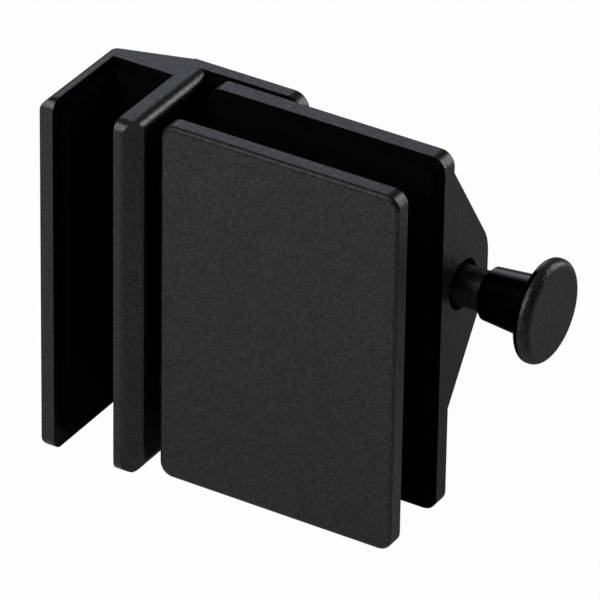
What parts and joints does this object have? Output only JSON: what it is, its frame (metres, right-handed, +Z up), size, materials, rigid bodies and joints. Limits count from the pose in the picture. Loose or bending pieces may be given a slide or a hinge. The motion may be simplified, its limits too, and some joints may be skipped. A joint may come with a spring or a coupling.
{
  "type": "glass pool gate latch",
  "caption": "Two-part latch for a frameless glass gate: a keeper clips on the fixed pane, and a clamped housing holds a sprung bolt with a pull knob.",
  "frame": {"origin": "middle plane of the gate's pane, centre line of the clamp plates, bottom edge", "axes": "+X along the gate towards the knob, +Y away from the side the gate opens to, +Z up"},
  "size_m": [0.1098, 0.0458, 0.0895],
  "materials": {
    "keeper_coat": "matt black powder coat",
    "front_coat": "matt black powder coat",
    "latch_coat": "matt black powder coat",
    "knob_coat": "satin black",
    "gasket": "black rubber",
    "buffer": "black rubber",
    "sleeve": "black nylon",
    "bush": "black acetal",
    "steel": "stainless steel",
    "bolt_steel": "ground stainless steel",
    "rod_steel": "satin stainless steel",
    "spring_steel": "spring steel"
  },
  "bodies": {
    "latch_and_keeper": {"strike_body": "keeper_coat", "strike_gasket_outer": "gasket", "strike_gasket_inner": "gasket", "strike_floor_pad": "gasket", "pressure_plate": "steel", "grub_screws": "steel", "stop_buffer_lower": "buffer", "stop_buffer_upper": "buffer", "front_plate": "front_coat", "front_gasket": "gasket", "rear_gasket": "gasket", "glass_sleeve_lower": "sleeve", "glass_sleeve_upper": "sleeve", "clamp_screw_lower": "steel", "clamp_screw_upper": "steel", "latch_body": "latch_coat", "guide_plate": "steel", "guide_screws": "steel", "rod_bush": "bush", "return_spring": "spring_steel"},
    "pull_bolt": {"bolt": "bolt_steel", "bolt_pin": "steel", "pull_rod": "rod_steel", "knob": "knob_coat"}
  },
  "joints": [
    {"name": "bolt_pull", "type": "slide", "parent": "latch_and_keeper", "child": "pull_bolt", "axis": [1, 0, 0], "range_m": [0, 0.011], "stiffness_N_per_m": 500, "springref_m": -0.004, "deforming": ["return_spring"]}
  ]
}
